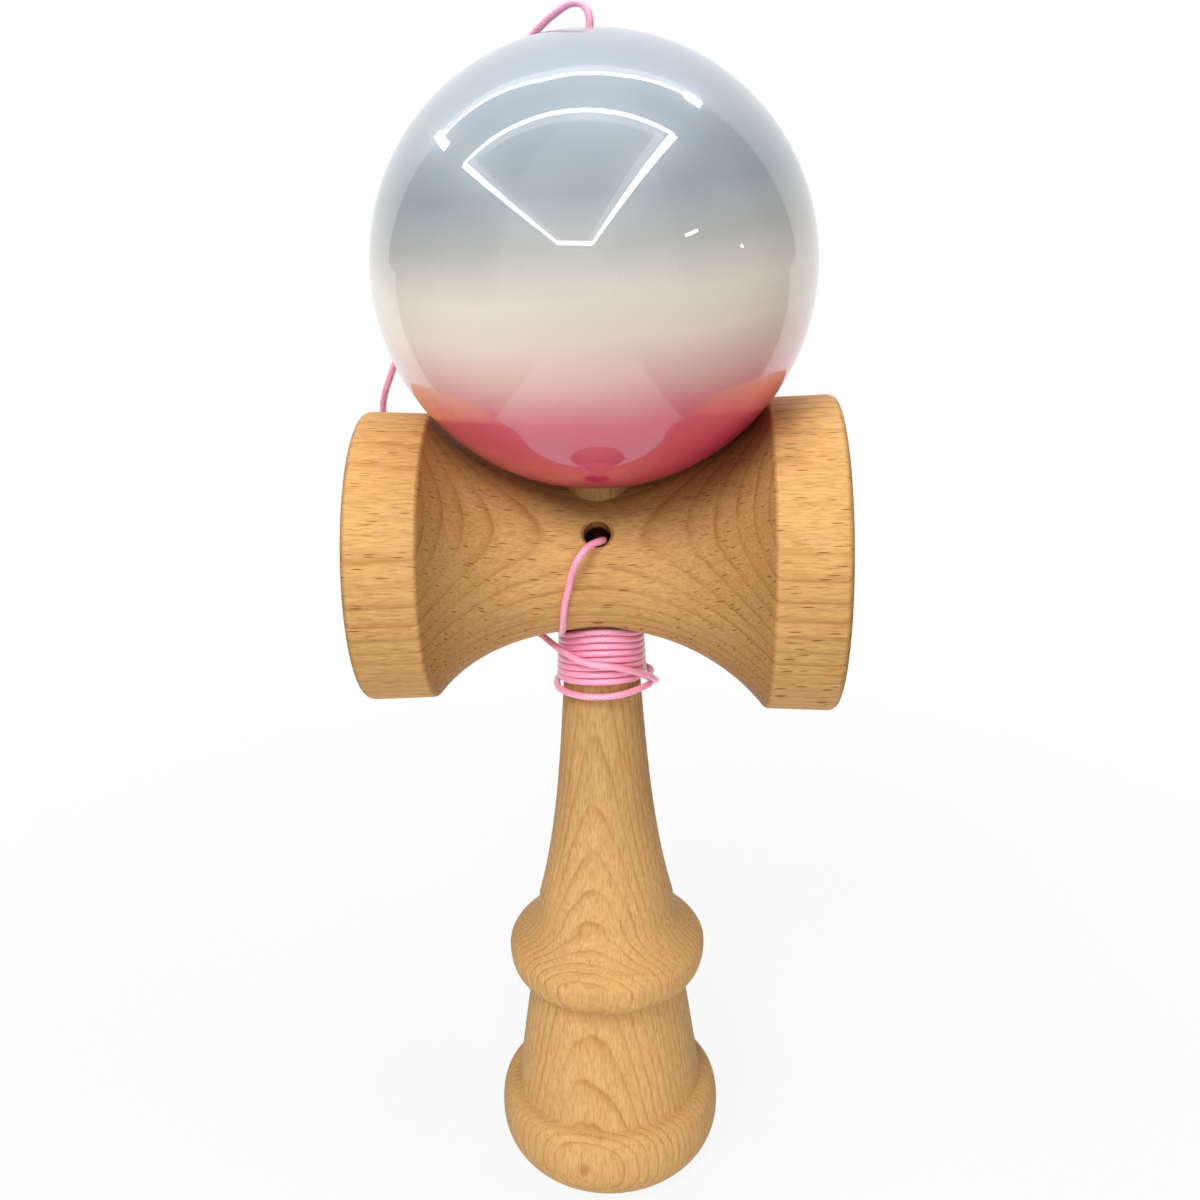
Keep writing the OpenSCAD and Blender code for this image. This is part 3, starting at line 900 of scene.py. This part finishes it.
# %% Wood
# The ken's tones are its beech colour set darker than the cross-piece's, with painted shade that evens
# out the stronger light it gets. The bead shares them.
ken_shaded_tones = ((0.585, 0.355, 0.145), (0.44, 0.245, 0.08))
cross_tones = ((0.73, 0.43, 0.166), (0.54, 0.29, 0.097))
ken_wood = beech_material(
    "beech_ken",
    turn_degrees=(0, 0, 8),
    middle=(0, 0, 0),
    shift=(2, 3, 0),
    tones=ken_shaded_tones,
    ring=(1.05, 0.8),
    fleck=0.4,
    end=0.1,
)
cross_wood = beech_material(
    "beech_cross",
    turn_degrees=(38, 90, 0),
    middle=(0, 0, cross_z),
    shift=(1, 0, 17),
    tones=cross_tones,
    ring=(2.0, 0.8),
    fleck=1.0,
    end=1.0,
)
bead_wood = beech_material(
    "beech_bead",
    turn_degrees=(20, 40, 0),
    middle=(0, 0, bead_z),
    shift=(5, 1, 2),
    tones=ken_shaded_tones,
    ring=(1.2, 0.6),
    fleck=0.5,
    end=0.3,
)
dress(ken, ken_wood)
dress(cross_piece, cross_wood)
dress(bead, bead_wood)
print("wood: ken, cross-piece, bead")

# %% [markdown]
# The ball's lacquer fades from blue-grey through cream to rose, sprayed on a ball that sat a little
# askew, so the fade's axis leans. A ramp over height makes the fade, noise softens its borders, and
# a clear coat on the shader gives the deep gloss.

# %% Lacquer
fade_lean = math.radians(4)
mist_scale, mist_mm = (0.09, 0.09, 0.09), 2.0
speckle_scale, speckle_mm = (3.0, 3.0, 3.0), 1.2
fade_shift = (mist_mm + speckle_mm) / 2
fade_stops = [
    (0.00, (0.60, 0.010, 0.09)),
    (0.14, (0.68, 0.015, 0.11)),
    (0.24, (0.83, 0.11, 0.18)),
    (0.33, (0.89, 0.50, 0.445)),
    (0.42, (0.90, 0.75, 0.63)),
    (0.50, (0.775, 0.715, 0.605)),
    (0.60, (0.415, 0.415, 0.397)),
    (0.70, (0.24, 0.282, 0.31)),
    (1.00, (0.25, 0.305, 0.365)),
]


def fade_ramp(tree, level):
    ramp = add(tree, "ShaderNodeValToRGB")
    ramp.color_ramp.interpolation = "LINEAR"
    elements = ramp.color_ramp.elements
    for stop, (position, colour) in enumerate(fade_stops):
        # A new ramp already has two stops, and the first two colours take those.
        element = elements[stop] if stop < 2 else elements.new(position)
        element.position = position
        element.color = (*colour, 1)
    tree.links.new(level, ramp.inputs["Fac"])
    return ramp.outputs["Color"]


def lacquer_material(name):
    paint, tree, shader = material(name)
    place = add(tree, "ShaderNodeTexCoord")
    centre = add(tree, "ShaderNodeVectorMath", operation="SUBTRACT")
    tree.links.new(place.outputs["Object"], centre.inputs[0])
    centre.inputs[1].default_value = (0, 0, ball_z * MM)
    lean = add(tree, "ShaderNodeMapping", vector_type="POINT")
    lean.inputs["Rotation"].default_value = (0, fade_lean, 0)
    tree.links.new(centre.outputs[0], lean.inputs["Vector"])
    from_centre = in_mm(tree, lean.outputs[0])
    mist = times(tree, noise(tree, from_centre, mist_scale, detail=3.0), mist_mm)
    speckle = times(tree, noise(tree, from_centre, speckle_scale), speckle_mm)
    level = plus(tree, directions(tree, from_centre)[2], plus(tree, mist, speckle))
    fade = remap(tree, level, -ball_r + fade_shift, ball_r + fade_shift)
    tree.links.new(fade_ramp(tree, fade), shader.inputs["Base Color"])
    shader.inputs["Roughness"].default_value = 0.35
    shader.inputs["Coat Weight"].default_value = 1.0
    shader.inputs["Coat Roughness"].default_value = 0.02
    shader.inputs["Coat IOR"].default_value = 1.6
    return paint


dress(ball, lacquer_material("ball_lacquer"))
print("lacquer: %d stops" % len(fade_stops))

# %% [markdown]
# The string is a smooth nylon braid: two families of strands cross in flat diagonals. On the cord's
# UV map they are two sets of waves that lean against each other, the higher one on top. Its colour is
# painted: darker in the grooves between the strands as shade, paler on their crowns as highlight.

# %% Braid
strand_mm, strands_round = 0.8, 6.0
groove_shade_colour, crown_highlight_colour = (0.97, 0.25, 0.43), (1.0, 0.44, 0.62)
strand_height = 0.03
weave_range = (-0.4, 1.0)
short_length = 24 * MM


def braid_material(name, length):
    paint, tree, shader = material(name)
    uv = add(tree, "ShaderNodeUVMap")
    run, girth, _ = directions(tree, uv.outputs[0])
    along = times(tree, run, length / MM / strand_mm)
    round_it = times(tree, girth, strands_round)
    right_lean = times(tree, plus(tree, along, round_it), 2 * math.pi)
    left_lean = times(tree, minus(tree, along, round_it), 2 * math.pi)
    weave = larger(tree, math_node(tree, "SINE", right_lean), math_node(tree, "SINE", left_lean))
    # Painted shade in the grooves and a painted highlight on the crowns follow the weave.
    colour = mix(tree, remap(tree, weave, *weave_range), groove_shade_colour, crown_highlight_colour)
    tree.links.new(colour, shader.inputs["Base Color"])
    relief_on(tree, shader, weave, strand_height)
    shader.inputs["Roughness"].default_value = 0.36
    shader.inputs["Specular IOR Level"].default_value = 1.0
    shader.inputs["Coat Weight"].default_value = 0.8
    shader.inputs["Coat Roughness"].default_value = 0.32
    shader.inputs["Coat IOR"].default_value = 1.7
    return paint


dress(string, braid_material("braid_main", string_length))
short_braid = braid_material("braid_short", short_length)
for piece in (core, *tied):
    dress(piece, short_braid)
print("braid on the string, its core and knots")

# %% [markdown]
# The toy stands in a small light tent. Slim lamps under its roof are what the ball mirrors as bright
# lines, the long ones with a wider and fainter halo beside them. Glowing meshes could make them too,
# but area lights between pairs of corners are cleaner, and here they light only the gloss.

# %% Strip lamps
roof = 400
strip_glow, halo_glow = 20, 1.6
strips = [
    ("rear", 9, strip_glow, [(-342, 168), (-184, 108), (-70, 64), (40, 64), (178, 99)]),
    ("rear_left_end", 22, strip_glow, [(-338, 215), (-329, 95)]),
    ("rear_right_end", 30, strip_glow, [(148, 90), (184, 96)]),
    ("rear_halo", 24, halo_glow, [(-342, 185), (-184, 124), (-70, 80), (40, 80), (178, 115)]),
    ("fan_rear", 10, strip_glow, [(-315, -28), (161, -49)]),
    ("fan_left", 15, strip_glow, [(-315, -28), (-210, -742)]),
    ("fan_right", 16, strip_glow, [(161, -49), (20, -775)]),
    ("fan_front", 26, strip_glow, [(-210, -742), (20, -775)]),
    ("fan_rear_halo", 22, halo_glow, [(-290, -44), (140, -64)]),
    ("fan_left_halo", 26, halo_glow, [(-292, -45), (-190, -730)]),
    ("fan_right_halo", 30, halo_glow, [(140, -66), (0, -755)]),
]
glints = [((425, -382, 329), (466, -324, 339), 14), ((582, -113, 226), (582, -125, 238), 12)]


def strip_light(name, start, end, width, glow):
    """A slim lamp between two points that faces the ball, in millimetres."""
    start, end = Vector(start) * MM, Vector(end) * MM
    middle = (start + end) / 2
    along = (end - start).normalized()
    away = middle - Vector((0, 0, ball_z * MM))
    away = (away - away.dot(along) * along).normalized()
    turn = Matrix((along, away.cross(along), away)).transposed().to_4x4()
    lamp = bpy.data.lights.new(name, "AREA")
    lamp.shape = "RECTANGLE"
    lamp.size = (end - start).length
    lamp.size_y = width * MM
    lamp.energy = glow * math.pi * lamp.size * lamp.size_y
    holder = new_object(name, lamp)
    holder.matrix_world = Matrix.Translation(middle) @ turn
    holder.visible_diffuse = False


for name, width, glow, corners in strips:
    for a, b in zip(corners, corners[1:]):
        strip_light("strip_" + name, (*a, roof), (*b, roof), width, glow)
for start, end, width in glints:
    strip_light("strip_glint", start, end, width, strip_glow)
print("strip lamps: %d lines and %d glints" % (len(strips), len(glints)))

# %% [markdown]
# Round lamps give the light itself: a key from the front left, one above, one on each side, one from
# behind so that the back isn't dark, and a weak narrow one at the foot. They stay out of the gloss,
# where only the strips and the walls show.


# %% Soft lamps
def soft_light(name, place, aim_z, size, power, spread=180):
    """A round lamp that looks at a height on the toy's axis, in millimetres."""
    lamp = bpy.data.lights.new(name, "AREA")
    lamp.shape = "DISK"
    lamp.size = size * MM
    lamp.energy = power
    lamp.spread = math.radians(spread)
    look = (Vector((0, 0, aim_z)) - Vector(place)).to_track_quat("-Z", "Y").to_matrix().to_4x4()
    holder = new_object(name, lamp)
    holder.matrix_world = Matrix.Translation(Vector(place) * MM) @ look
    holder.visible_glossy = False


soft_light("soft_key", (-130, -310, 490), aim_z=90, size=240, power=2.0)
soft_light("soft_top", (40, -60, 620), aim_z=110, size=200, power=1.05)
soft_light("soft_right", (340, -60, 350), aim_z=130, size=130, power=0.38)
soft_light("soft_left", (-340, -60, 380), aim_z=130, size=130, power=0.42)
soft_light("soft_back", (110, 430, 330), aim_z=100, size=200, power=0.6)
soft_light("soft_low", (20, -345, 60), aim_z=18, size=160, power=0.042, spread=26)
print("soft lamps: key, top, right, left, back, low")

# %% [markdown]
# The tent's walls are the world's colour. The camera sees white. The gloss sees a white wall behind, a
# greyer one in front and dim sides, which draws the ball's edges. A little even light comes from all
# round, so that no shade is black.

# %% Tent walls
side_wall, front_wall, back_wall = 0.22, 0.7, 1.0
wall_light = 0.18
back_edge, back_lean = (0.525, 0.535), 0.2
front_edge, front_slope = (0.0, 0.02), -0.97


def ray_kinds(tree):
    """Masks of the rays that look straight or through glass, that are mirrored, and that are soft."""
    path = add(tree, "ShaderNodeLightPath").outputs
    straight = larger(tree, path["Is Camera Ray"], path["Is Transmission Ray"])
    return straight, path["Is Glossy Ray"], path["Is Diffuse Ray"]


def tent_world(name):
    world = bpy.data.worlds.new(name)
    world.use_nodes = True
    tree = world.node_tree
    straight, mirrored, soft = ray_kinds(tree)
    way = add(tree, "ShaderNodeTexCoord")
    right, ahead, up = directions(tree, way.outputs["Generated"])
    lean = times(tree, size_of(tree, up), back_lean)
    behind = remap(tree, plus(tree, ahead, lean), *back_edge, side_wall, back_wall)
    widening = times(tree, size_of(tree, right), front_slope)
    front = remap(tree, minus(tree, widening, ahead), *front_edge, side_wall, front_wall)
    gloss = times(tree, mirrored, larger(tree, behind, front))
    seen = larger(tree, straight, gloss)
    background = tree.nodes["Background"]
    background.inputs["Color"].default_value = (1, 1, 1, 1)
    strength = larger(tree, seen, times(tree, soft, wall_light))
    tree.links.new(strength, background.inputs["Strength"])
    return world


scene.world = tent_world("tent")
print("tent: side walls %.2f, front %.2f, back %.2f" % (side_wall, front_wall, back_wall))

# %% [markdown]
# The floor is white paper. The camera sees it glow white, apart from a share near the foot that keeps
# the toy's soft shadow. In the gloss it is a white sheet under the toy and a white sweep that widens
# behind it, between dim sides.

# %% Floor
floor_half = 2.0
paper_tone = (0.6, 0.6, 0.6, 1)
shadow_near, shadow_far, shadow_white = 0.04, 0.25, 0.9
sheet_shift, sheet_edge = 8 * MM, (92 * MM, 95 * MM)
sheet_front = (-0.28, -0.14)
sweep_slope, sweep_edge = 0.45, (0, 5 * MM)


def paper_material(name):
    paint, tree, shader = material(name)
    shader.inputs["Base Color"].default_value = paper_tone
    shader.inputs["Roughness"].default_value = 0.9
    straight, mirrored, _ = ray_kinds(tree)
    place = add(tree, "ShaderNodeTexCoord").outputs["Object"]
    distance = add(tree, "ShaderNodeVectorMath", operation="LENGTH")
    tree.links.new(place, distance.inputs[0])
    far = remap(tree, distance.outputs["Value"], shadow_near, shadow_far, shadow_white, 1.0, smooth=True)
    right, ahead, _ = directions(tree, place)
    off_middle = size_of(tree, plus(tree, right, sheet_shift))
    sheet_side = remap(tree, off_middle, *sheet_edge, 1.0, side_wall)
    sheet_end = remap(tree, ahead, *sheet_front, side_wall, 1.0, smooth=True)
    sheet = math_node(tree, "MINIMUM", sheet_side, sheet_end)
    corner = minus(tree, ahead, times(tree, off_middle, sweep_slope))
    sweep = remap(tree, corner, *sweep_edge, side_wall, 1.0)
    gloss = times(tree, mirrored, larger(tree, sheet, sweep))
    glow = add(tree, "ShaderNodeEmission")
    tree.links.new(larger(tree, straight, gloss), glow.inputs["Strength"])
    both = add(tree, "ShaderNodeMixShader")
    tree.links.new(larger(tree, times(tree, straight, far), mirrored), both.inputs[0])
    tree.links.new(shader.outputs[0], both.inputs[1])
    tree.links.new(glow.outputs[0], both.inputs[2])
    tree.links.new(both.outputs[0], tree.nodes["Material Output"].inputs["Surface"])
    return paint


bm = bmesh.new()
bmesh.ops.create_grid(bm, x_segments=1, y_segments=1, size=floor_half)
floor_mesh = bpy.data.meshes.new("floor")
bm.to_mesh(floor_mesh)
bm.free()
floor = new_object("floor", floor_mesh)
dress(floor, paper_material("white_paper"))
print("floor: white paper")
